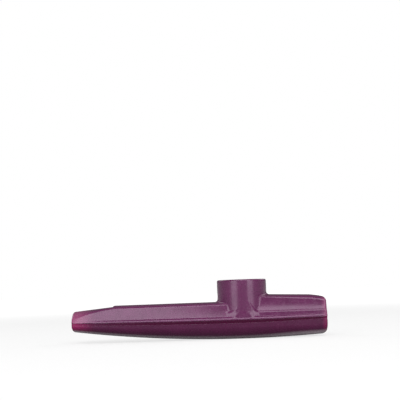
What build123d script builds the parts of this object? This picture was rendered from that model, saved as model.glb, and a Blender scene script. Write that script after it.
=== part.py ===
from build123d import *
import os

# A moulded plastic kazoo, in millimetres. +X runs from the mouthpiece to the outlet, +Z up through the
# turret. The body is two shells glued at a level parting plane, and the keel's lowest point is at z = 0.

# Places along the body
length = 115.0               # mouthpiece end to outlet end
turret_from_outlet = 37.6    # outlet end to the turret's axis
neck_length = 17.2           # mouthpiece end to the step where the roof begins
wall = 1.5                   # thickness of the moulded shells

# Half width of the body at the parting plane. Beside the turret it follows from the turret
mouth_seam_half_width = 8.9
outlet_seam_half_width = 10.0
turret_lip_reach = 0.2       # body's edge beyond the foot of the turret's wall

# Lower shell: depth of the drafted side's lower end below the parting plane, and the side's inward lean
mouth_side_depth = 0.6
turret_side_depth = 3.0
outlet_side_depth = 3.4
side_draft = 0.05            # lean per unit of depth

# Lower shell: depth of the keel below the parting plane, and half width of its flat underside
mouth_keel_depth = 3.4
turret_keel_depth = 8.9
outlet_keel_depth = 7.7
mouth_keel_flat = 3.5
turret_keel_flat = 4.0
outlet_keel_flat = 5.0

# Lower shell: groove outside its rim, under the upper shell's lip, wide beside the turret and fading out at
# both ends
mouth_groove_height = 0.3
turret_groove_height = 1.3
outlet_groove_height = 0.7
mouth_groove_depth = 0.15
turret_groove_depth = 0.4
outlet_groove_depth = 0.25

# Upper shell: height and depth of the rounded lip along the parting plane
mouth_lip_height = 0.9
turret_lip_height = 1.3
outlet_lip_height = 2.0
mouth_lip_depth = 0.4
turret_lip_depth = 1.5
outlet_lip_depth = 0.8

# Upper shell: soft edge between the steep side and the crown, as a half width and a height above the
# parting plane, the crown's height, and how far the side bows outwards, or inwards where negative
mouth_edge_half_width = 4.4
mouth_edge_height = 4.9
mouth_crown_height = 5.6
mouth_bow = 1.1
neck_edge_half_width = 6.9
neck_edge_height = 6.2
neck_crown_height = 6.8
neck_bow = 0.2
step_edge_half_width = 7.3
step_edge_height = 6.5
step_crown_height = 7.6
step_bow = 0.1
front_edge_half_width = 8.7
front_edge_height = 6.9
front_crown_height = 7.9
front_bow = 0.1
rear_edge_half_width = 7.9
rear_edge_height = 9.8
rear_crown_height = 11.1
rear_bow = -0.6
outlet_edge_half_width = 8.2
outlet_edge_height = 8.2
outlet_crown_height = 9.5
outlet_bow = -0.5

# Lap joint: a tongue under the upper shell's rim that drops into a recess inside the lower shell's rim
lap_height = 0.8
lap_width = 0.45
lap_inset = 0.1              # tongue behind the shell's inside face
lap_clearance = 0.05
lap_end_gap = 2.5            # tongue's ends to the body's open ends

# Turret, moulded in one with the upper shell
turret_radius = 11.3         # straight collar at the top
turret_taper = 0.1           # foot of the wall below the collar, beyond the collar on the radius
turret_height = 17.7         # rim above the parting plane
collar_length = 6.0          # rim down to the lower end of the straight collar
flare_radius = 3.0           # hollow round between the turret's wall and the lip
flare_sink = 0.3             # depth that the flare's foot is let into the lip
turret_wall = 1.7
turret_rim_round = 0.4
seat_depth = 6.4             # rim down to the membrane's seat
seat_thickness = 1.4
sound_hole_radius = 6.5

# Membrane, its frame and the ring that holds them down
membrane_thickness = 0.1
frame_thickness = 0.6
frame_width = 2.2
frame_clearance = 0.15       # frame to turret bore, on the radius
ring_clearance = 0.05        # ring to turret bore, on the radius
ring_gap = 0.05              # ring above the membrane's frame
ring_recess = 0.9            # ring's top below the turret's rim
ring_wall = 2.3
ring_round = 0.4

# How many cross-sections each stretch is drawn through
span_count = 4
hull_front_count = 6
hull_rear_count = 4
lap_count = 7
flare_count = 5

# Reach of the control points that draw a curve as a quarter of an ellipse
quarter_ellipse_ratio = 0.552

# Places that follow from the sizes
seam_z = turret_keel_depth
turret_base_radius = turret_radius + turret_taper
turret_seam_half_width = turret_base_radius + turret_lip_reach
mouth_x = -length / 2
outlet_x = length / 2
turret_x = outlet_x - turret_from_outlet
step_x = mouth_x + neck_length
flare_z = seam_z + turret_lip_height - flare_sink
rim_z = seam_z + turret_height
seat_z = rim_z - seat_depth
bore_radius = turret_radius - turret_wall
frame_z = seat_z + membrane_thickness
ring_z = frame_z + frame_thickness + ring_gap
ring_top_z = rim_z - ring_recess
frame_radius = bore_radius - frame_clearance
ring_radius = bore_radius - ring_clearance


def along(x, at_mouth, at_turret, at_outlet):
    """A size at x: level at the turret, and curving away to its value at either end."""
    if x <= turret_x:
        share = (turret_x - x) / (turret_x - mouth_x)
        return at_turret + (at_mouth - at_turret) * share**2
    share = (x - turret_x) / (outlet_x - turret_x)
    return at_turret + (at_outlet - at_turret) * share**2


def between(first, last, share):
    """The value that lies the given share of the way from first to last."""
    return first + (last - first) * share


def quarter_ellipse(level_end, upright_end):
    """Control points of a quarter ellipse that leaves level_end level and upright_end upright."""
    level_y, level_z = level_end
    upright_y, upright_z = upright_end
    return [
        level_end,
        (between(level_y, upright_y, quarter_ellipse_ratio), level_z),
        (upright_y, between(upright_z, level_z, quarter_ellipse_ratio)),
        upright_end,
    ]


def seam_half_width(x):
    return along(x, mouth_seam_half_width, turret_seam_half_width, outlet_seam_half_width)


def hull_section(x, inset):
    """Cross-section of the lower shell at x, drawn inside its outer face by inset."""
    seam_y = seam_half_width(x) - inset
    side_depth = along(x, mouth_side_depth, turret_side_depth, outlet_side_depth)
    side_y = seam_y - side_draft * side_depth
    side_z = seam_z - side_depth
    keel_z = seam_z - along(x, mouth_keel_depth, turret_keel_depth, outlet_keel_depth) + inset
    keel_y = along(x, mouth_keel_flat, turret_keel_flat, outlet_keel_flat)
    with BuildSketch(Plane.YZ.offset(x)) as section:
        with BuildLine():
            Line((0, keel_z), (keel_y, keel_z))
            Bezier(*quarter_ellipse((keel_y, keel_z), (side_y, side_z)))
            Line((side_y, side_z), (seam_y, seam_z))
            Line((seam_y, seam_z), (0, seam_z))
            mirror(about=Plane.YZ)
        make_face()
    return section.sketch


def roof_section(x, inset, edge_y, edge_height, crown_height, bow):
    """Cross-section of the upper shell at x, drawn inside its outer face by inset: lip, side and crown."""
    seam_y = seam_half_width(x) - inset
    lip_y = seam_y - along(x, mouth_lip_depth, turret_lip_depth, outlet_lip_depth)
    lip_z = seam_z + along(x, mouth_lip_height, turret_lip_height, outlet_lip_height)
    edge = Vector(edge_y - inset, seam_z + edge_height - inset)
    crown = Vector(0, seam_z + crown_height - inset)
    slant = (edge - Vector(lip_y, lip_z)).normalized()
    bowed = (edge + Vector(lip_y, lip_z)) / 2 + Vector(slant.Y, -slant.X) * bow
    with BuildSketch(Plane.YZ.offset(x)) as section:
        with BuildLine():
            Line((0, seam_z), (seam_y, seam_z))
            Bezier(*quarter_ellipse((lip_y, lip_z), (seam_y, seam_z)))
            ThreePointArc((lip_y, lip_z), bowed, edge)
            TangentArc(crown, edge, tangent=(1, 0))
            mirror(about=Plane.YZ)
        make_face()
    return section.sketch


def flare_section(x):
    """Cross-section at x of the room for the turret's flare, between the lips of the two sides."""
    lip_y = seam_half_width(x) - along(x, mouth_lip_depth, turret_lip_depth, outlet_lip_depth) / 2
    with BuildSketch(Plane.YZ.offset(x)) as section:
        with Locations((0, flare_z)):
            Rectangle(2 * lip_y, 2 * flare_radius)
    return section.sketch


def rim_section(x, inner_y, outer_y, depth):
    """Cross-section at x of a strip below the parting plane, between two distances from the middle."""
    with BuildSketch(Plane.YZ.offset(x)) as section:
        with BuildLine():
            Polyline(
                (inner_y, seam_z),
                (outer_y, seam_z),
                (outer_y, seam_z - depth),
                (inner_y, seam_z - depth),
                close=True,
            )
        make_face()
    return section.sketch


def disc(z, radius, hole=0):
    """A round plan about the turret's axis at height z, with a hole where one is given."""
    with BuildSketch(Plane.XY.offset(z)) as plan:
        with Locations((turret_x, 0)):
            Circle(radius)
            if hole:
                Circle(hole, mode=Mode.SUBTRACT)
    return plan.sketch


# Roof sizes at the places where its form changes
mouth_roof = (mouth_edge_half_width, mouth_edge_height, mouth_crown_height, mouth_bow)
neck_roof = (neck_edge_half_width, neck_edge_height, neck_crown_height, neck_bow)
step_roof = (step_edge_half_width, step_edge_height, step_crown_height, step_bow)
front_roof = (front_edge_half_width, front_edge_height, front_crown_height, front_bow)
rear_roof = (rear_edge_half_width, rear_edge_height, rear_crown_height, rear_bow)
outlet_roof = (outlet_edge_half_width, outlet_edge_height, outlet_crown_height, outlet_bow)


def stations(first_x, last_x, count):
    """Evenly spaced places from first_x to last_x, both included."""
    return [between(first_x, last_x, step / (count - 1)) for step in range(count)]


def span(inset, first_x, last_x, first_roof, last_roof):
    """Sections of one stretch of the roof from first_x to last_x, drawn inside it by inset."""
    sections = []
    for x in stations(first_x, last_x, span_count):
        share = (x - first_x) / (last_x - first_x)
        roof = [between(first, last, share) for first, last in zip(first_roof, last_roof)]
        sections.append(roof_section(x, inset, *roof))
    return sections


def hull_sections(inset):
    """Sections of the whole lower shell, one of them at the turret's axis."""
    front = stations(mouth_x, turret_x, hull_front_count)
    rear = stations(turret_x, outlet_x, hull_rear_count)
    return [hull_section(x, inset) for x in front + rear[1:]]


def lap_sections(side, inner, outer, depth, end_gap):
    """Sections of one side's tongue or recess, reaching out from the shell's inside face."""
    sections = []
    for x in stations(mouth_x + end_gap, outlet_x - end_gap, lap_count):
        inside_y = seam_half_width(x) - wall
        sections.append(rim_section(x, side * (inside_y + inner), side * (inside_y + outer), depth))
    return sections


def groove_sections(side):
    """Sections of one side's groove outside the lower shell's rim, from end to end."""
    front = stations(mouth_x, turret_x, hull_front_count)
    rear = stations(turret_x, outlet_x, hull_rear_count)
    sections = []
    for x in front + rear[1:]:
        rim_y = seam_half_width(x) - along(x, mouth_groove_depth, turret_groove_depth, outlet_groove_depth)
        depth = along(x, mouth_groove_height, turret_groove_height, outlet_groove_height)
        sections.append(rim_section(x, side * rim_y, side * (rim_y + wall), depth))
    return sections


os.makedirs("parts", exist_ok=True)

# Lower shell: the hull, hollowed to the wall's thickness and open at both ends, with the lap's recess inside
# its rim and the groove outside it
with BuildPart() as lower_shell:
    loft(sections=hull_sections(0))
    loft(sections=hull_sections(wall), mode=Mode.SUBTRACT)
    for side in (-1, 1):
        recess = lap_sections(
            side,
            -lap_inset,
            lap_inset + lap_width + lap_clearance,
            lap_height + lap_clearance,
            lap_end_gap - lap_clearance,
        )
        loft(sections=recess, mode=Mode.SUBTRACT)
        loft(sections=groove_sections(side), mode=Mode.SUBTRACT)
lower_shell.part.label = "lower_shell"
export_step(lower_shell.part, "parts/lower_shell.step")

# Flare at the turret's foot, trimmed to the room between the lips
with BuildPart() as turret_flare:
    with BuildSketch(Plane.XZ):
        with BuildLine():
            Polyline(
                (turret_x + turret_base_radius, flare_z + flare_radius),
                (turret_x, flare_z + flare_radius),
                (turret_x, flare_z),
                (turret_x + turret_base_radius + flare_radius, flare_z),
            )
            TangentArc(
                (turret_x + turret_base_radius + flare_radius, flare_z),
                (turret_x + turret_base_radius, flare_z + flare_radius),
                tangent=(-1, 0),
            )
        make_face()
    revolve(axis=Axis((turret_x, 0, 0), (0, 0, 1)))
    flare_reach = turret_base_radius + flare_radius
    room = stations(turret_x - flare_reach, turret_x + flare_reach, flare_count)
    loft(sections=[flare_section(x) for x in room], mode=Mode.INTERSECT)

# Upper shell: neck, front roof and rear roof, the turret over the place where they meet, the air passage
# under them, and the turret's bore with the membrane's seat
with BuildPart() as upper_shell:
    loft(sections=span(0, mouth_x, step_x, mouth_roof, neck_roof))
    loft(sections=span(0, step_x, turret_x, step_roof, front_roof))
    loft(sections=span(0, turret_x, outlet_x, rear_roof, outlet_roof))
    with BuildSketch(Plane.XZ):
        with BuildLine():
            Polyline(
                (turret_x, seam_z),
                (turret_x + turret_base_radius, seam_z),
                (turret_x + turret_radius, rim_z - collar_length),
                (turret_x + turret_radius, rim_z),
                (turret_x, rim_z),
                close=True,
            )
        make_face()
    revolve(axis=Axis((turret_x, 0, 0), (0, 0, 1)))
    add(turret_flare.part)
    loft(sections=span(wall, mouth_x, step_x, mouth_roof, neck_roof), mode=Mode.SUBTRACT)
    loft(sections=span(wall, step_x, turret_x, step_roof, front_roof), mode=Mode.SUBTRACT)
    loft(sections=span(wall, turret_x, outlet_x, rear_roof, outlet_roof), mode=Mode.SUBTRACT)
    extrude(disc(seam_z, bore_radius), amount=seat_z - seat_thickness - seam_z, mode=Mode.SUBTRACT)
    extrude(disc(seat_z - seat_thickness, sound_hole_radius), amount=seat_thickness, mode=Mode.SUBTRACT)
    extrude(disc(seat_z, bore_radius), amount=seat_depth, mode=Mode.SUBTRACT)
    fillet(upper_shell.edges().group_by(Axis.Z)[-1], turret_rim_round)
    for side in (-1, 1):
        loft(sections=lap_sections(side, lap_inset, lap_inset + lap_width, lap_height, lap_end_gap))
upper_shell.part.label = "upper_shell"
export_step(upper_shell.part, "parts/upper_shell.step")

# Membrane: the film, lying on the seat under its frame
with BuildPart() as membrane:
    extrude(disc(seat_z, frame_radius), amount=membrane_thickness)
membrane.part.label = "membrane"
export_step(membrane.part, "parts/membrane.step")

# Membrane frame: the thin stiff ring that the film is stretched on
with BuildPart() as membrane_frame:
    extrude(disc(frame_z, frame_radius, hole=frame_radius - frame_width), amount=frame_thickness)
membrane_frame.part.label = "membrane_frame"
export_step(membrane_frame.part, "parts/membrane_frame.step")

# Retaining ring: pushed into the turret's bore above the membrane
with BuildPart() as retaining_ring:
    extrude(disc(ring_z, ring_radius, hole=ring_radius - ring_wall), amount=ring_top_z - ring_z)
    fillet(retaining_ring.edges().group_by(Axis.Z)[-1], ring_round)
retaining_ring.part.label = "retaining_ring"
export_step(retaining_ring.part, "parts/retaining_ring.step")
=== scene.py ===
import math

import bpy
import numpy as np
from mathutils import Matrix, Vector


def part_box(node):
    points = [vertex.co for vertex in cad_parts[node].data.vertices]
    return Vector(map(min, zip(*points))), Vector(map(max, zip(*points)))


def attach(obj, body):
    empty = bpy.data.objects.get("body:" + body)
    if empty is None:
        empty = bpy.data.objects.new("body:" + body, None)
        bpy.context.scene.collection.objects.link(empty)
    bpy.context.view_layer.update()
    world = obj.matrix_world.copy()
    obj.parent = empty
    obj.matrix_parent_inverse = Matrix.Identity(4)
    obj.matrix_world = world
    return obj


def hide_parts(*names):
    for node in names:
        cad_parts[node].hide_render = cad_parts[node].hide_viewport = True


# Looks of a moulded plastic kazoo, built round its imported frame. Shapes are worked out in millimetres, with
# +X from the mouthpiece to the outlet and +Z up through the turret, and go into Blender in metres.

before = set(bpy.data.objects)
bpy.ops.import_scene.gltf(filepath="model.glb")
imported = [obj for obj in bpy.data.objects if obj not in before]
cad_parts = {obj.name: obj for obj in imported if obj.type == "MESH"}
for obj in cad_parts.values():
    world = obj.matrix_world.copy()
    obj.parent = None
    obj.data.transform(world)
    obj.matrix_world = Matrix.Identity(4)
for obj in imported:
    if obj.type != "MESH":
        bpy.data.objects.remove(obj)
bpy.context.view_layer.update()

MM = 0.001

# Places read from the frame
lower_low, lower_high = [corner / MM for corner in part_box("lower_shell")]
upper_low, upper_high = [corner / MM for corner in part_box("upper_shell")]
ring_low, ring_high = [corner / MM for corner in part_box("retaining_ring")]
frame_low, frame_high = [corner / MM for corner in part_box("membrane_frame")]
film_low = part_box("membrane")[0] / MM
mouth_x = upper_low.x
outlet_x = upper_high.x
rim_z = upper_high.z
seam_z = lower_high.z
turret_x = (ring_low.x + ring_high.x) / 2
ring_radius = (ring_high.x - ring_low.x) / 2
frame_radius = (frame_high.x - frame_low.x) / 2
seat_z = film_low.z

# Shell sizes at the mouthpiece, the turret and the outlet. Heights and depths count from the parting plane,
# and the lip, the ledge and the groove count from the joint line, which sags a little beside the turret
wall = 1.5
seam_half_widths = (8.9, 11.54, 10.0)
joint_heights = (0.55, -0.3, 0.0)
lip_heights = (0.6, 1.2, 1.4)
lip_depths = (-0.3, 1.7, 0.8)
least_lip_depth = 0.05
bead_depths = (0.3, 0.7, 0.6)
ledge_heights = (2.7, 2.7, 2.4)
ledge_insets = (1.6, 1.6, 0.6)
ledge_draft = 0.1
shoulder_height = 0.9
shoulder_depth = 0.8
shoulder_foot_height = 0.6
shoulder_foot_inset = 0.2
groove_heights = (1.0, 1.35, 0.8)
groove_depths = (0.05, 0.8, 0.45)
groove_top_depths = (0.03, 0.15, 0.12)
side_depths = (0.8, 3.0, 3.4)
side_draft = 0.05
keel_depths = (3.4, seam_z - lower_low.z, 7.7)
keel_flats = (3.5, 4.0, 5.0)

# Pad at the turret's foot: its face is flatter than the turret's wall, and its top edge falls in an arc to
# the ledge behind, and in front to a short ledge that runs in under the roof
pad_rear_radius = 19.0
pad_front_radius = 17.0
pad_inset = 0.1
pad_hollow = 0.6
pad_hollow_reach = 3.3
pad_start = 2.8
pad_length = 3.9
pad_rear_rise = 4.75
pad_front_rise = 2.2
pad_front_height = 2.8
pad_front_reach = 9.0

# Roof at the ends of its two stretches: half width and height of the soft edge between side and crown, the
# crown's height, how far the side is coved, from 0 for straight to 1, and the soft edge's radius
step_roof = (7.3, 6.9, 7.8, 0.0, 0.6)
front_roof = (8.95, 6.9, 7.9, 0.2, 0.6)
rear_roof = (8.5, 10.1, 11.1, 0.75, 0.1)
outlet_roof = (8.2, 8.6, 9.7, 0.6, 1.2)
cove_power = 3.3
outlet_droop = 1.0
outlet_droop_length = 8.0
edge_droop_share = 0.7
least_soft_edge = 0.1

# Neck: an arch from the oval mouthpiece to the step, in front of which the roof is cut down to it
neck_length = 18.2
step_x = mouth_x + neck_length
mouth_crown = 5.55
neck_crown = 7.25
mouth_arch_half_width = 8.9
neck_arch_half_width = 22.0
neck_arch_power = 1.4

# Turret and its seat
turret_radius = 11.25
turret_base_radius = 11.35
collar_length = 6.0
foot_flare = 0.85
foot_flare_height = 3.5
foot_flare_power = 1.1
foot_inset = 0.2
ring_clearance = 0.05
bore_radius = ring_radius + ring_clearance
sound_hole_radius = 6.5
seat_thickness = 1.4

# Rounds and hollows
mouth_end_round = 1.3
mouth_top_round = 0.9
outlet_end_round = 1.1
outlet_keel_round = 2.3
outlet_keel_start = 3.0
outlet_keel_spread = 4.0
inner_round = 0.3
rim_round = 0.7
seam_round = 0.14
groove_edge_round = 0.07
foot_round = 0.3
crease_round = 0.4
ledge_crease_round = 0.2
step_round = 0.25
neck_edge_round = 0.7
front_fillet = 1.2
rear_fillet = 1.4
flank_fillet = 0.35
flank_start = 1.5
flank_spread = 3.0
rear_flank_fillet = 0.7
rear_flank_start = 5.0
rear_flank_rise = 5.0
foot_fillet = 0.9
foot_fillet_start = 1.5
foot_fillet_spread = 6.0
foot_fillet_top = 5.0
foot_fillet_fade = 3.0
least_fillet_share = 0.03

# Ring and film's frame. Rounds go from the inner bottom corner by way of the outer ones to the inner top
ring_wall = 2.3
ring_rounds = (0.3, 0.15, 0.4, 0.6)
frame_width = 2.2
frame_rounds = (0.1, 0.1, 0.2, 0.2)
turned_segments = 128
corner_steps = 5
sharp_angle = math.radians(35)

# Grid along the body: its margin beyond the ends, the fine zones' lengths, and the steps in each zone
end_margin = 0.31
end_zone = 2.5
end_grid = 0.3
neck_grid = 0.6
step_zone = 1.5
step_grid = 0.25
plain_grid = 0.7
turret_zone = 15
turret_grid = 0.4

# Grid across the body, one half of it
first_y = 0.35
middle_y = 6.35
groove_start_y = 8.45
groove_end_y = 11.75
last_y = 12.35
middle_grid = 0.6
side_grid = 0.3
groove_grid = 0.15

# Grid up through the upper shell, and up through the lower one
upper_margin = 0.5
lip_zone = 2.8
lip_grid = 0.15
upper_grid = 0.4
rim_zone = 0.7
rim_grid = 0.17
keel_margin = 0.13
keel_zone = 3
keel_grid = 0.3
hull_grid = 0.35
seam_zone = 2.0
seam_grid = 0.09
lower_margin = 0.75

# How vertices settle on a surface: rounds, longest move along an axis in a round, least square of the slope,
# and how far to either side the slope is measured
settle_rounds = 4
longest_settle = 0.15
least_slope_squared = 0.05
slope_reach = 0.02
tiny = 1e-9

# Colours
upper_color = (0.128, 0.022, 0.088)
# The glow colours are painted light: paler colour at the open ends for light coming through the thin walls
upper_painted_glow_color = (0.31, 0.07, 0.17, 1)
lower_color = (0.08, 0.008, 0.046)
lower_painted_glow_color = (0.26, 0.01, 0.092, 1)
# Painted shade for the groove under the lip, where the lip's shadow falls
painted_groove_shade_color = (0.075, 0.002, 0.032, 1)
# Painted reflection of the pale floor on surfaces that face down
painted_reflection_color = (0.6, 0.52, 0.58, 1)
white_shade = (0.74, 0.73, 0.68, 1)
white_tint = (0.8, 0.79, 0.75, 1)
film_shade = (0.8, 0.8, 0.77, 1)
film_tint = (0.88, 0.88, 0.85, 1)
pure_white = (1, 1, 1, 1)

# Colour runs: the painted glow of light through the thin walls at each open end, the painted shade in the
# groove under the lip, and the painted reflection of the pale floor on the underside, which starts where the
# surface faces down this far, first at the turret and then at the outlet
mouth_painted_glow_length = 12.0
mouth_painted_glow = 1.0
outlet_painted_glow_length = 3.0
outlet_painted_glow = 0.75
groove_margin = 0.12
full_groove_depth = 0.6
turret_reflection_facing = -0.75
outlet_reflection_facing = -0.5
full_reflection_facing = -1.0

# Grain and gloss of the plastics and the film: each noise has a scale and a detail, and each bump a strength
# and a depth in metres
noise_roughness = 0.55
noise_low = 0.3
noise_high = 0.7
cloud_noise = (140, 4)
cloud_shade = 0.92
cloud_tint = 1.08
gloss_noise = (420, 3)
gloss_range = (0.22, 0.3)
ripple_noise = (160, 3)
ripple_bump = (0.07, 0.0004)
plum_specular = 0.6
plum_specular_tint = (1, 0.86, 1, 1)
white_noise = (500, 3)
white_roughness = 0.45
film_noise = (350, 4)
crinkle_noise = (700, 5)
crinkle_bump = (0.25, 0.0003)
film_roughness = 0.28
film_opacity = 0.55

# Camera: lens and sensor in millimetres, reach and place in metres
camera_lens = 77.5
camera_sensor = 36
camera_reach = 50
camera_place = Vector((0.0022, -0.3985, 0.0215))
camera_pitch = math.radians(6.105)
camera_roll = math.radians(2.0)

# Soft boxes, in degrees and metres: where each is seen from the object, with azimuth 0 towards the camera,
# its size, and the brightness of its face
light_aim = Vector((0, 0, 0.012))
front_box = {"azimuth": 0, "elevation": 44, "distance": 1.1, "width": 1.2, "height": 0.8, "strength": 3.2}
side_box = {"azimuth": 37, "elevation": 12, "distance": 1.1, "width": 0.55, "height": 0.5, "strength": 3.4}
back_box = {"azimuth": 119, "elevation": 31, "distance": 1.2, "width": 0.9, "height": 0.7, "strength": 1.5}

# Room and floor, in metres. The floor's lift to white grows from the first distance of each run to the second
room_half_width = 2.0
room_low = -0.02
room_high = 2.2
room_glow = 0.12
floor_half_width = 9
floor_color = (0.28, 0.28, 0.28, 1)
floor_roughness = 0.9
seen_lift_run = (0.3, 1.2)
near_lift = 0.71
mirror_lift_run = (0.1, 0.4)


def along(x, sizes):
    """A size at x: level at the turret, and curving away to its value at either end."""
    at_mouth, at_turret, at_outlet = sizes
    front = np.clip((turret_x - x) / (turret_x - mouth_x), 0, None)
    rear = np.clip((x - turret_x) / (outlet_x - turret_x), 0, None)
    return at_turret + (at_mouth - at_turret) * front**2 + (at_outlet - at_turret) * rear**2


def both(a, b, radius):
    """Field of what two fields share, with the edge between them rounded."""
    outside = np.hypot(np.maximum(radius + a, 0), np.maximum(radius + b, 0))
    return np.minimum(-radius, np.maximum(a, b)) + outside


def either(a, b, radius):
    """Field of two fields joined, with a hollow round between them."""
    return -both(-a, -b, radius)


def oval(y, height, centre_y, half_width, half_height):
    """Field of a flat-topped form whose side is a quarter ellipse beyond centre_y."""
    across = np.maximum(y - centre_y, 0) / half_width
    up = height / half_height
    reach = np.hypot(across, up) + tiny
    slope = np.hypot(across / half_width, up / half_height) / reach + tiny
    return (reach - 1) / slope


def roof_field(x, y, height, ends, roofs, foot, inset):
    """Field of one stretch of the roof between two x, drawn inside its outer face by inset."""
    share = (x - ends[0]) / (ends[1] - ends[0])
    edge_y, edge_height, crown, cove, soft = [a + (b - a) * share for a, b in zip(*roofs)]
    droop = outlet_droop * np.clip((x - outlet_x) / outlet_droop_length + 1, 0, None)**2
    edge_y = edge_y - inset
    edge_height = edge_height - inset - edge_droop_share * droop
    crown = crown - inset - droop
    foot_y, foot_height = foot
    run = foot_y - inset - edge_y
    rise = edge_height - foot_height
    down = np.clip((edge_height - height) / rise, 0, 1)
    reach = (1 - cove) * (edge_height - height) / rise + cove * down**cove_power
    lean = run / rise * (1 - cove + cove * cove_power * down**(cove_power - 1))
    side = (y - edge_y - run * reach) / np.hypot(1, lean)
    drop = (crown - edge_height) / edge_y**2
    top = (height - crown + drop * y**2) / np.hypot(1, 2 * drop * y)
    return both(side, top, np.clip(soft - inset, least_soft_edge, None))


def arch_field(x, y, height, inset):
    """Field of the space under the neck's arch, drawn inside it by inset."""
    share = np.clip((x - mouth_x) / (step_x - mouth_x), 0, 1)
    crown = mouth_crown + (neck_crown - mouth_crown) * share - inset
    spread = neck_arch_half_width - mouth_arch_half_width
    half_width = mouth_arch_half_width + spread * share**neck_arch_power
    return oval(y, height, 0, half_width - inset, crown)


def roofs_field(x, y, height, inset):
    """Field of the neck, the front roof and the rear roof together."""
    seam_y = along(x, seam_half_widths)
    joint = along(x, joint_heights)
    lip_depth = np.maximum(along(x, lip_depths), least_lip_depth)
    lip_foot = (seam_y - lip_depth, joint + along(x, lip_heights))
    ledge_y = seam_y - along(x, ledge_insets) - shoulder_foot_inset
    ledge_foot = (ledge_y, joint + along(x, ledge_heights) + shoulder_foot_height)
    front = roof_field(x, y, height, (step_x, turret_x), (step_roof, front_roof), lip_foot, inset)
    rear = roof_field(x, y, height, (turret_x, outlet_x), (rear_roof, outlet_roof), ledge_foot, inset)
    stepped = either(arch_field(x, y, height, inset), step_x + inset - x, step_round)
    front = both(both(front, stepped, neck_edge_round), x - turret_x, step_round)
    rear = both(rear, turret_x - x, step_round)
    return np.minimum(front, rear)


def ledge_field(x, y, over):
    """Field of the ledge behind the turret and of the pad at the turret's foot, at heights over the joint."""
    aside = np.abs(x - turret_x)
    in_front = x < turret_x
    hollow = pad_hollow * np.clip(1 - aside / pad_hollow_reach, 0, 1)
    pad_radius = np.where(in_front, pad_front_radius, pad_rear_radius)
    pad_y = turret_radius - pad_inset - hollow - aside**2 / (2 * pad_radius)
    behind_y = np.maximum(along(x, seam_half_widths) - along(x, ledge_insets), pad_y)
    ledge_y = np.where(in_front, pad_y, behind_y) - shoulder_depth
    ledge_height = np.where(in_front, pad_front_height, along(x, ledge_heights))
    pad_rise = np.where(in_front, pad_front_rise, pad_rear_rise)
    pad_height = pad_rise * np.clip(1 - (aside - pad_start) / pad_length, 0, 1)**2
    above = np.maximum(over - ledge_height - pad_height, 0)
    below = np.maximum(ledge_height - over, 0)
    ledge = oval(y, above, ledge_y, shoulder_depth, shoulder_height) - ledge_draft * below
    return both(ledge, turret_x - pad_front_reach - x, step_round)


def lip_field(x, y, height):
    """Field of the lip along the joint line, with the ledge and the pad over it."""
    over = height - along(x, joint_heights)
    bead_depth = along(x, bead_depths)
    bead_y = along(x, seam_half_widths) - bead_depth
    bead = oval(y, over, bead_y, bead_depth, along(x, lip_heights))
    return either(bead, ledge_field(x, y, over), ledge_crease_round)


def turret_field(x, y, z):
    """Field of the turret's outside, with the flare at its foot held back behind the lip."""
    height = z - seam_z
    taper = np.clip((rim_z - collar_length - z) / (rim_z - collar_length - seam_z), 0, 1)
    flare = foot_flare * np.clip(1 - height / foot_flare_height, 0, 1)**foot_flare_power
    reach = turret_radius + (turret_base_radius - turret_radius) * taper + flare
    turret = both(np.hypot(x - turret_x, y) - reach, z - rim_z, rim_round)
    return both(turret, y - along(x, seam_half_widths) + foot_inset, foot_round)


def turret_fillet(x, y, height):
    """Radius of the hollow round between the turret and the body, which changes round the turret."""
    aside = np.clip((y - flank_start) / flank_spread, 0, 1)
    crown_fillet = np.where(x < turret_x, front_fillet, rear_fillet)
    climb = np.where(x < turret_x, 0, np.clip((height - rear_flank_start) / rear_flank_rise, 0, 1))
    side_fillet = flank_fillet + (rear_flank_fillet - flank_fillet) * climb
    fillet = crown_fillet + (side_fillet - crown_fillet) * aside
    spread = (np.abs(x - turret_x) - foot_fillet_start) / foot_fillet_spread
    flank = np.clip(spread, least_fillet_share, 1)
    low = np.clip((foot_fillet_top - height) / foot_fillet_fade, 0, 1)
    return fillet + (foot_fillet * flank - fillet) * low


def upper_field(x, y, z):
    """Field of the upper shell: lip, roofs and turret outside, air passage and turret bore inside."""
    y = np.abs(y)
    height = z - seam_z
    axis = np.hypot(x - turret_x, y)
    body = either(roofs_field(x, y, height, 0), lip_field(x, y, height), crease_round)
    outside = either(body, turret_field(x, y, z), turret_fillet(x, y, height))
    outside = both(outside, mouth_x - x, mouth_top_round)
    outside = both(outside, x - outlet_x, outlet_end_round)
    passage = roofs_field(x, y, height, wall)
    chamber = np.maximum(axis - bore_radius, z - seat_z + seat_thickness)
    well = np.maximum(axis - bore_radius, seat_z - z)
    hole = axis - sound_hole_radius
    inside = np.minimum(np.minimum(passage, chamber), np.minimum(well, hole))
    shell = both(outside, -inside, inner_round)
    return both(shell, along(x, joint_heights) - height, seam_round)


def hull_field(x, y, height, inset):
    """Field of the hull, drawn inside its outer face by inset: drafted side, round bilge and flat keel."""
    side_depth = along(x, side_depths)
    side_y = along(x, seam_half_widths) - side_draft * side_depth - inset
    keel = along(x, keel_depths) - inset
    flat = along(x, keel_flats)
    above = height + side_depth
    bilge = oval(y, np.minimum(above, 0), flat, side_y - flat, keel - side_depth)
    return bilge - side_draft * np.maximum(above, 0)


def groove_depth(x, share):
    """Depth of the groove under the lip at a share of its height, deepest at the bottom."""
    bottom = along(x, groove_depths)
    return bottom + (along(x, groove_top_depths) - bottom) * np.clip(share, 0, 1)


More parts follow.
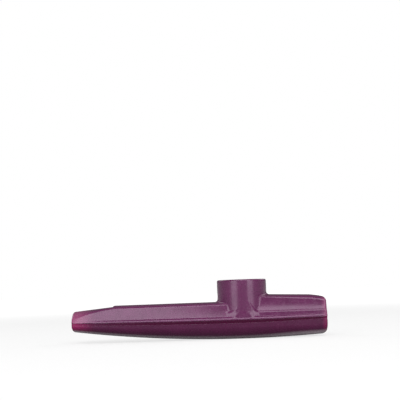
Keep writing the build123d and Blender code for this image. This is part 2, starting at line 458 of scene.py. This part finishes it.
def lower_field(x, y, z):
    """Field of the lower shell: hull with a groove under the lip, air passage inside."""
    y = np.abs(y)
    height = z - seam_z
    below = height - along(x, joint_heights)
    groove_height = along(x, groove_heights)
    rim_y = along(x, seam_half_widths) - groove_depth(x, 1 + below / groove_height)
    groove = np.maximum(rim_y - y, -groove_height - below)
    outside = both(hull_field(x, y, height, 0), -groove, groove_edge_round)
    outside = both(outside, mouth_x - x, mouth_end_round)
    low = np.clip((-height - outlet_keel_start) / outlet_keel_spread, 0, 1)
    outside = both(outside, x - outlet_x, outlet_end_round + (outlet_keel_round - outlet_end_round) * low)
    shell = both(outside, -hull_field(x, y, height, wall), inner_round)
    return both(shell, below, seam_round)


def ticks(start, *spans):
    """Grid places from start on, through (end, step) spans."""
    places = [np.array([start])]
    for end, step in spans:
        count = max(1, round((end - start) / step))
        places.append(np.linspace(start, end, count + 1)[1:])
        start = end
    return np.concatenate(places)


def mirrored_ticks(*spans):
    """Grid places across the body, through (end, step) spans from the middle to either side."""
    half = ticks(first_y, *spans)
    return np.concatenate([-half[::-1], half])


def gradient(field, points):
    """Field value and slope at each point."""
    value = field(points[:, 0], points[:, 1], points[:, 2])
    slope = np.zeros_like(points)
    for n in range(3):
        ahead = points.copy()
        behind = points.copy()
        ahead[:, n] += slope_reach
        behind[:, n] -= slope_reach
        difference = field(*ahead.T) - field(*behind.T)
        slope[:, n] = difference / (2 * slope_reach)
    return value, slope


def surface(field, xs, ys, zs):
    """Quads on the zero surface of a field that is sampled on a grid, with its vertices and normals.

    Each grid cell that the surface passes through gets one vertex, at the mean of the places where the surface
    crosses the cell's edges, and each crossed edge gets a quad between the four cells round it.
    """
    grid = [xs, ys, zs]
    values = field(xs[:, None, None], ys[None, :, None], zs[None, None, :])
    inside = values < 0
    corners = [(i, j, k) for i in (0, 1) for j in (0, 1) for k in (0, 1)]
    size = [len(places) - 1 for places in grid]

    def corner_of(block, offset):
        return block[tuple(slice(o, o + n) for o, n in zip(offset, size))]

    count = sum(corner_of(inside, c).astype(np.int8) for c in corners)
    mixed_cells = (count > 0) & (count < len(corners))
    cells = np.argwhere(mixed_cells)
    index = np.full(mixed_cells.shape, -1)
    index[mixed_cells] = np.arange(len(cells))
    total = np.zeros((len(cells), 3))
    hits = np.zeros(len(cells))
    for a in corners:
        for axis in range(3):
            if a[axis]:
                continue
            b = tuple(1 if n == axis else a[n] for n in range(3))
            low = corner_of(values, a)[mixed_cells]
            high = corner_of(values, b)[mixed_cells]
            crossed = (low < 0) != (high < 0)
            share = np.where(crossed, low / np.where(crossed, low - high, 1), 0)
            for n in range(3):
                start = grid[n][cells[:, n] + a[n]]
                end = grid[n][cells[:, n] + b[n]]
                total[:, n] += np.where(crossed, start + (end - start) * share, 0)
            hits += crossed
    points = total / hits[:, None]
    for _ in range(settle_rounds):
        value, slope = gradient(field, points)
        steepness = np.maximum((slope**2).sum(1), least_slope_squared)
        move = value[:, None] * slope / steepness[:, None]
        points -= np.clip(move, -longest_settle, longest_settle)
    faces = []
    for axis in range(3):
        u, v = [n for n in range(3) if n != axis]
        first = [slice(None)] * 3
        second = [slice(None)] * 3
        first[axis] = slice(0, -1)
        second[axis] = slice(1, None)
        for n in (u, v):
            first[n] = slice(1, -1)
            second[n] = slice(1, -1)
        starts = inside[tuple(first)]
        ends = inside[tuple(second)]
        for flipped, edges in ((False, starts & ~ends), (True, ends & ~starts)):
            at = np.argwhere(edges)
            quad = []
            for du, dv in ((0, 0), (1, 0), (1, 1), (0, 1)):
                spot = at.copy()
                spot[:, u] += du
                spot[:, v] += dv
                quad.append(index[spot[:, 0], spot[:, 1], spot[:, 2]])
            quad = np.stack(quad, axis=1)
            if flipped != (axis == 1):
                quad = quad[:, ::-1]
            faces.append(quad)
    faces = np.concatenate(faces)
    slope = gradient(field, points)[1]
    normals = slope / np.linalg.norm(slope, axis=1)[:, None]
    return points, faces, normals


def link(name, data):
    obj = bpy.data.objects.new(name, data)
    bpy.context.scene.collection.objects.link(obj)
    return obj


def smooth_mesh(name, points, faces, normals):
    mesh = bpy.data.meshes.new(name)
    mesh.from_pydata((points * MM).tolist(), [], faces.tolist())
    mesh.polygons.foreach_set("use_smooth", [True] * len(mesh.polygons))
    mesh.normals_split_custom_set_from_vertices(normals.tolist())
    mesh.update()
    return mesh


def painted_groove_shade_share(points):
    """How much painted shade each point of the lower shell gets, from 0 to 1: inside the groove under the lip,
    more where the groove is deeper.
    """
    x, y, z = points.T
    height = along(x, groove_heights)
    below = seam_z + along(x, joint_heights) - z
    sunk = along(x, seam_half_widths) - np.abs(y)
    beside = (sunk > groove_margin) & (sunk < groove_depth(x, 1 - below / height) + groove_margin)
    within = (below > -groove_margin) & (below < height + groove_margin)
    return np.where(beside & within, np.clip(along(x, groove_depths) / full_groove_depth, 0, 1), 0)


def shell_piece(name, field, xs, ys, zs, node):
    """A moulded shell as a mesh that takes the place of a node of the body."""
    points, faces, normals = surface(field, xs, ys, zs)
    mesh = smooth_mesh(name, points, faces, normals)
    # Share of painted shade in the groove under the lip, read by the material
    groove = mesh.attributes.new("groove", "FLOAT", "POINT")
    groove.data.foreach_set("value", painted_groove_shade_share(points))
    piece = link(name, mesh)
    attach(piece, "body")
    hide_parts(node)
    return piece


def turned_piece(name, profile, node, body):
    """A round piece turned about the turret's axis from a closed profile of radii and heights."""
    count = len(profile)
    angles = np.arange(turned_segments) * 2 * math.pi / turned_segments
    points = [(turret_x + r * math.cos(a), r * math.sin(a), z) for a in angles for r, z in profile]
    faces = []
    for turn in range(turned_segments):
        here = turn * count
        ahead = (turn + 1) % turned_segments * count
        for n in range(count):
            after = (n + 1) % count
            faces.append((here + n, ahead + n, ahead + after, here + after))
    mesh = bpy.data.meshes.new(name)
    mesh.from_pydata((np.array(points) * MM).tolist(), [], faces)
    mesh.polygons.foreach_set("use_smooth", [True] * len(mesh.polygons))
    mesh.set_sharp_from_angle(angle=sharp_angle)
    piece = link(name, mesh)
    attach(piece, body)
    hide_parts(node)
    return piece


def rounded_profile(low, high, rounds):
    """Profile of a band from corner low to corner high, (radius, height) each, with its corners rounded."""
    corners = [(low[0], low[1]), (high[0], low[1]), (high[0], high[1]), (low[0], high[1])]
    inward = [(1, 1), (-1, 1), (-1, -1), (1, -1)]
    profile = []
    for n, ((r, z), (in_r, in_z), size) in enumerate(zip(corners, inward, rounds)):
        for step in range(corner_steps + 1):
            angle = math.pi + (n + step / corner_steps) * math.pi / 2
            out_r = r + in_r * size + size * math.cos(angle)
            out_z = z + in_z * size + size * math.sin(angle)
            profile.append((out_r, out_z))
    return profile


body_xs = ticks(
    mouth_x - end_margin,
    (mouth_x + end_zone, end_grid),
    (step_x - step_zone, neck_grid),
    (step_x + step_zone, step_grid),
    (turret_x - turret_zone, plain_grid),
    (turret_x + turret_zone, turret_grid),
    (outlet_x - end_zone, plain_grid),
    (outlet_x + end_margin, end_grid),
)
upper_ys = mirrored_ticks((middle_y, middle_grid), (last_y, side_grid))
lower_ys = mirrored_ticks(
    (middle_y, middle_grid),
    (groove_start_y, side_grid),
    (groove_end_y, groove_grid),
    (last_y, side_grid),
)
upper_zs = ticks(
    seam_z - upper_margin,
    (seam_z + lip_zone, lip_grid),
    (rim_z - rim_zone, upper_grid),
    (rim_z + rim_grid, rim_grid),
)
lower_zs = ticks(
    lower_low.z - keel_margin,
    (lower_low.z + keel_zone, keel_grid),
    (seam_z - seam_zone, hull_grid),
    (seam_z + lower_margin, seam_grid),
)
ring_bore = ring_radius - ring_wall
frame_bore = frame_radius - frame_width

upper = shell_piece("upper_shell_moulding", upper_field, body_xs, upper_ys, upper_zs, "upper_shell")
lower = shell_piece("lower_shell_moulding", lower_field, body_xs, lower_ys, lower_zs, "lower_shell")
ring_profile = rounded_profile((ring_bore, ring_low.z), (ring_radius, ring_high.z), ring_rounds)
ring = turned_piece("retaining_ring_moulding", ring_profile, "retaining_ring", "ring")
frame_profile = rounded_profile((frame_bore, frame_low.z), (frame_radius, frame_high.z), frame_rounds)
film_frame = turned_piece("membrane_frame_moulding", frame_profile, "membrane_frame", "film")
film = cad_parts["membrane"]


def add_node(tree, kind, inputs, **settings):
    """A shader node whose inputs are set to values or linked to other nodes' outputs."""
    made = tree.nodes.new(kind)
    for name, value in settings.items():
        setattr(made, name, value)
    for name, value in inputs.items():
        if isinstance(value, bpy.types.NodeSocket):
            tree.links.new(value, made.inputs[name])
        else:
            made.inputs[name].default_value = value
    return made


def mixed(tree, share, first, second):
    """Colour that goes from first to second as share goes from 0 to 1.

    The mix node has a socket for each kind of data: 6 and 7 take the colours, and output 2 gives theirs.
    """
    mix = add_node(tree, "ShaderNodeMix", {0: share, 6: first, 7: second}, data_type="RGBA")
    return mix.outputs[2]


def ranged(tree, value, start, end, low=0.0, high=1.0):
    """Value carried from start..end smoothly over to low..high, and level beyond."""
    inputs = {"Value": value, "From Min": start, "From Max": end, "To Min": low, "To Max": high}
    spread = add_node(tree, "ShaderNodeMapRange", inputs, interpolation_type="SMOOTHSTEP")
    return spread.outputs["Result"]


def noise(tree, place, grain):
    scale, detail = grain
    inputs = {"Vector": place, "Scale": scale, "Detail": detail, "Roughness": noise_roughness}
    return add_node(tree, "ShaderNodeTexNoise", inputs).outputs["Fac"]


def bump(tree, shader, height, bump_size):
    """Bumps on a shader's surface, by a height."""
    strength, distance = bump_size
    inputs = {"Height": height, "Strength": strength, "Distance": distance}
    made = add_node(tree, "ShaderNodeBump", inputs)
    tree.links.new(made.outputs["Normal"], shader.inputs["Normal"])


def new_material(name):
    material = bpy.data.materials.new(name)
    material.use_nodes = True
    tree = material.node_tree
    return material, tree, tree.nodes["Principled BSDF"]


def plum_plastic(name, color, painted_glow_color):
    """Glossy moulded plastic with a cloudy colour.

    Painted light is added to the colour: a paler glow at the open ends for light through the thin walls,
    painted shade in the groove under the lip, and a pale grey painted reflection of the floor where the
    surface faces down.
    """
    material, tree, shader = new_material(name)
    place = add_node(tree, "ShaderNodeTexCoord", {}).outputs["Object"]
    x = add_node(tree, "ShaderNodeSeparateXYZ", {0: place}).outputs["X"]
    normal = add_node(tree, "ShaderNodeNewGeometry", {}).outputs["Normal"]
    facing = add_node(tree, "ShaderNodeSeparateXYZ", {0: normal}).outputs["Z"]
    groove = add_node(tree, "ShaderNodeAttribute", {}, attribute_name="groove").outputs["Fac"]
    cloud = ranged(tree, noise(tree, place, cloud_noise), noise_low, noise_high)
    shade = [channel * cloud_shade for channel in color] + [1]
    tint = [channel * cloud_tint for channel in color] + [1]
    tone = mixed(tree, cloud, shade, tint)
    # Painted shade: darker colour in the groove under the lip, where the lip's shadow falls
    tone = mixed(tree, groove, tone, painted_groove_shade_color)
    # Painted glow: paler colour towards each open end, standing in for light coming through the thin walls
    glow = ranged(tree, x, (mouth_x + mouth_painted_glow_length) * MM, mouth_x * MM, 0, mouth_painted_glow)
    tone = mixed(tree, glow, tone, painted_glow_color)
    glow = ranged(tree, x, (outlet_x - outlet_painted_glow_length) * MM, outlet_x * MM, 0, outlet_painted_glow)
    tone = mixed(tree, glow, tone, painted_glow_color)
    # Painted reflection: pale grey where the surface faces down, standing in for the white floor's reflection
    reflection_start = ranged(tree, x, turret_x * MM, outlet_x * MM, turret_reflection_facing, outlet_reflection_facing)
    painted_reflection = ranged(tree, facing, reflection_start, full_reflection_facing)
    tone = mixed(tree, painted_reflection, tone, painted_reflection_color)
    tree.links.new(tone, shader.inputs["Base Color"])
    rough = ranged(tree, noise(tree, place, gloss_noise), noise_low, noise_high, *gloss_range)
    tree.links.new(rough, shader.inputs["Roughness"])
    bump(tree, shader, noise(tree, place, ripple_noise), ripple_bump)
    shader.inputs["Specular IOR Level"].default_value = plum_specular
    shader.inputs["Specular Tint"].default_value = plum_specular_tint
    return material


def white_plastic():
    """Natural white plastic with a faint mottle."""
    material, tree, shader = new_material("natural_white_plastic")
    place = add_node(tree, "ShaderNodeTexCoord", {}).outputs["Object"]
    mottle = ranged(tree, noise(tree, place, white_noise), noise_low, noise_high)
    tone = mixed(tree, mottle, white_shade, white_tint)
    tree.links.new(tone, shader.inputs["Base Color"])
    shader.inputs["Roughness"].default_value = white_roughness
    return material


def thin_film():
    """Cloudy translucent film with a faint crinkle."""
    material, tree, shader = new_material("buzzing_film")
    place = add_node(tree, "ShaderNodeTexCoord", {}).outputs["Object"]
    cloud = ranged(tree, noise(tree, place, film_noise), noise_low, noise_high)
    tone = mixed(tree, cloud, film_shade, film_tint)
    tree.links.new(tone, shader.inputs["Base Color"])
    bump(tree, shader, noise(tree, place, crinkle_noise), crinkle_bump)
    shader.inputs["Roughness"].default_value = film_roughness
    shader.inputs["Alpha"].default_value = film_opacity
    return material


def give(obj, material):
    obj.data.materials.clear()
    obj.data.materials.append(material)


give(upper, plum_plastic("plum_plastic_upper", upper_color, upper_painted_glow_color))
give(lower, plum_plastic("plum_plastic_lower", lower_color, lower_painted_glow_color))
give(ring, upper.data.materials[0])
give(film_frame, white_plastic())
give(film, thin_film())

camera_data = bpy.data.cameras.new("camera")
camera_data.lens = camera_lens
camera_data.sensor_width = camera_sensor
camera_data.clip_end = camera_reach
camera = link("camera", camera_data)
camera.matrix_world = (
    Matrix.Translation(camera_place)
    @ Matrix.Rotation(math.pi / 2 + camera_pitch, 4, "X")
    @ Matrix.Rotation(-camera_roll, 4, "Z")
)
bpy.context.scene.camera = camera


def soft_box(name, side, azimuth, elevation, distance, width, height, strength):
    """A soft box that faces the object, on the left of the camera for side -1 and on the right for side 1."""
    turn = math.radians(side * azimuth)
    lift = math.radians(elevation)
    across = math.cos(lift)
    place = Vector((math.sin(turn) * across, -math.cos(turn) * across, math.sin(lift))) * distance
    data = bpy.data.lights.new(name, "AREA")
    data.shape = "RECTANGLE"
    data.size = width
    data.size_y = height
    data.energy = strength * math.pi * width * height
    light = link(name, data)
    light.location = place
    light.rotation_euler = (light_aim - place).to_track_quat("-Z", "Y").to_euler()


soft_box("front_softbox", 1, **front_box)
for kind, box in (("softbox", side_box), ("back_softbox", back_box)):
    for label, side in (("left", -1), ("right", 1)):
        soft_box(f"{label}_{kind}", side, **box)

# White background, and a dim room round the set that the camera looks through
world = bpy.data.worlds.new("world")
bpy.context.scene.world = world
world.use_nodes = True
world.node_tree.nodes["Background"].inputs["Color"].default_value = pure_white
world.node_tree.nodes["Background"].inputs["Strength"].default_value = 1.0


def box_mesh(name, low, high):
    mesh = bpy.data.meshes.new(name)
    corners = [(x, y, z) for x in (low[0], high[0]) for y in (low[1], high[1]) for z in (low[2], high[2])]
    sides = [(0, 1, 3, 2), (4, 6, 7, 5), (0, 4, 5, 1), (2, 3, 7, 6), (0, 2, 6, 4), (1, 5, 7, 3)]
    mesh.from_pydata(corners, [], sides)
    return mesh


def emission_material(name, color, strength):
    material = bpy.data.materials.new(name)
    material.use_nodes = True
    nodes = material.node_tree.nodes
    nodes.remove(nodes["Principled BSDF"])
    glow = nodes.new("ShaderNodeEmission")
    glow.inputs["Color"].default_value = color
    glow.inputs["Strength"].default_value = strength
    material.node_tree.links.new(glow.outputs[0], nodes["Material Output"].inputs["Surface"])
    return material


room_near = (-room_half_width, -room_half_width, room_low)
room_far = (room_half_width, room_half_width, room_high)
room = link("studio_room", box_mesh("studio_room", room_near, room_far))
room.data.materials.append(emission_material("room_wall", pure_white, room_glow))
room.visible_camera = False

floor_mesh = bpy.data.meshes.new("floor")
floor_signs = [(-1, -1), (1, -1), (1, 1), (-1, 1)]
floor_corners = [(x * floor_half_width, y * floor_half_width, 0) for x, y in floor_signs]
floor_mesh.from_pydata(floor_corners, [], [(0, 1, 2, 3)])
floor = link("floor", floor_mesh)


def floor_material():
    """Pale matt floor, lifted to white where the camera, a reflection or a clear film shows it.

    Near the object the lift leaves room for its shadow, and reflections see the plain floor.
    """
    material, tree, shader = new_material("pale_floor")
    place = add_node(tree, "ShaderNodeTexCoord", {}).outputs["Object"]
    away = add_node(tree, "ShaderNodeVectorMath", {0: place}, operation="LENGTH").outputs["Value"]
    path = add_node(tree, "ShaderNodeLightPath", {}).outputs
    seen = ranged(tree, away, *seen_lift_run, near_lift, 1.0)
    direct = add_node(tree, "ShaderNodeMath", {0: path["Is Camera Ray"], 1: seen}, operation="MULTIPLY")
    either_ray = {0: path["Is Glossy Ray"], 1: path["Is Transmission Ray"]}
    mirrored = add_node(tree, "ShaderNodeMath", either_ray, operation="MAXIMUM")
    lifted = {0: mirrored.outputs[0], 1: ranged(tree, away, *mirror_lift_run)}
    reflected = add_node(tree, "ShaderNodeMath", lifted, operation="MULTIPLY")
    total = {0: direct.outputs[0], 1: reflected.outputs[0]}
    lift = add_node(tree, "ShaderNodeMath", total, operation="ADD")
    tree.links.new(lift.outputs[0], shader.inputs["Emission Strength"])
    shader.inputs["Emission Color"].default_value = pure_white
    shader.inputs["Base Color"].default_value = floor_color
    shader.inputs["Roughness"].default_value = floor_roughness
    return material


floor_mesh.materials.append(floor_material())

bpy.context.scene.view_settings.view_transform = "Standard"
